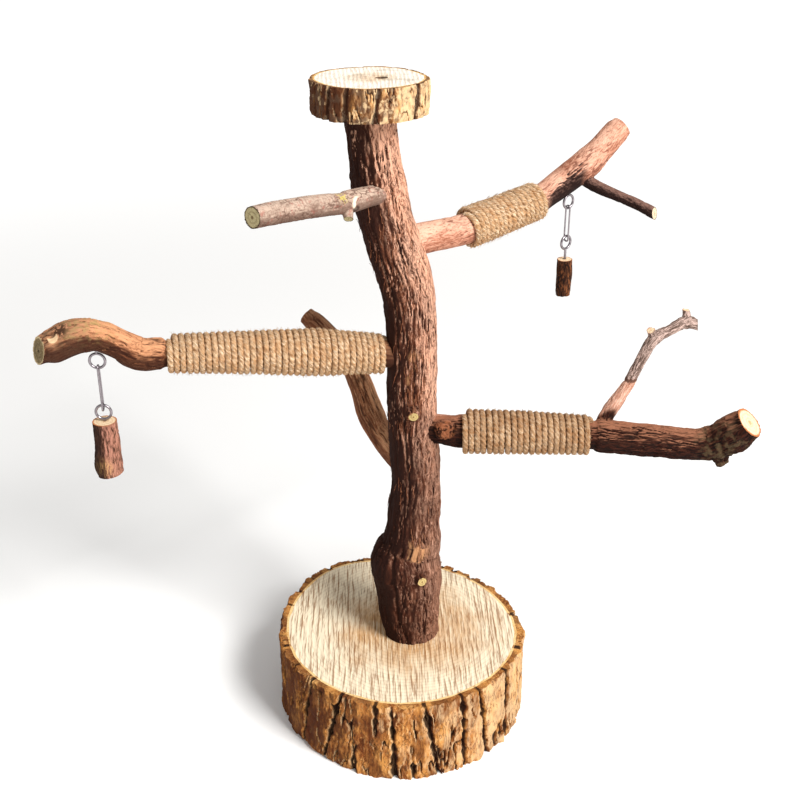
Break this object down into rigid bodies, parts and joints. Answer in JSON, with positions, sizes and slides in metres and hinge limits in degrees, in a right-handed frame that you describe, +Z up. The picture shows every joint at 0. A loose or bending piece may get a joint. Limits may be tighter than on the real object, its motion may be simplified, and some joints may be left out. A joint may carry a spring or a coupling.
{
  "type": "parrot play stand",
  "caption": "Parrot play stand of natural branches: log base, bent trunk, look-out platform, rope-wound perches, and small logs that hang from wire links.",
  "frame": {"origin": "centre of the base slice's underside", "axes": "+Z up along the trunk, +X towards the rope-wound right perches, +Y to the back"},
  "size_m": [0.4662, 0.1958, 0.466],
  "materials": {
    "log_bark": "sawn faces, deeply furrowed bark",
    "trunk_bark": "fibrous bark",
    "perch_bark": "rough bark",
    "pink_bark": "smooth bark",
    "grey_bark": "smooth spotted bark",
    "toy_bark": "rough bark, pale sawn ends",
    "jute": "twisted jute",
    "wire": "zinc-plated wire",
    "screw_steel": "zinc-plated"
  },
  "bodies": {
    "root": {"base_slice": "log_bark", "base_screws": "screw_steel", "trunk": "trunk_bark", "platform_slice": "log_bark", "platform_screw": "screw_steel", "left_perch": "perch_bark", "left_perch_rope": "jute", "left_perch_screw": "screw_steel", "left_perch_screw_eye": "wire", "lower_right_perch": "perch_bark", "lower_right_perch_rope": "jute", "lower_right_perch_screw": "screw_steel", "upper_right_perch": "pink_bark", "upper_right_perch_rope": "jute", "upper_right_perch_screw": "screw_steel", "right_perch_screw_eye": "wire", "back_perch": "perch_bark", "back_perch_screw": "screw_steel", "upper_left_perch": "grey_bark", "upper_left_perch_screw": "screw_steel"},
    "left_link": {"left_link": "wire"},
    "left_toy": {"left_toy_screw_eye": "wire", "left_toy_log": "toy_bark"},
    "right_link": {"right_link": "wire"},
    "right_toy": {"right_toy_screw_eye": "wire", "right_toy_log": "toy_bark"}
  },
  "joints": [
    {"name": "left_link_swing", "type": "hinge", "parent": "root", "child": "left_link", "pos_m": [-0.18997, -0.03956, 0.29403], "axis": [1, 0, 0], "range_deg": [-70, 70]},
    {"name": "left_toy_swing", "type": "hinge", "parent": "left_link", "child": "left_toy", "pos_m": [-0.18997, -0.03956, 0.26603], "axis": [0, 1, 0], "range_deg": [-60, 60]},
    {"name": "right_link_swing", "type": "hinge", "parent": "root", "child": "right_link", "pos_m": [0.11627, 0.07597, 0.36299], "axis": [0.766, 0.6428, 0], "range_deg": [-70, 70]},
    {"name": "right_toy_swing", "type": "hinge", "parent": "right_link", "child": "right_toy", "pos_m": [0.11627, 0.07597, 0.34099], "axis": [-0.6428, 0.766, 0], "range_deg": [-60, 60]}
  ]
}
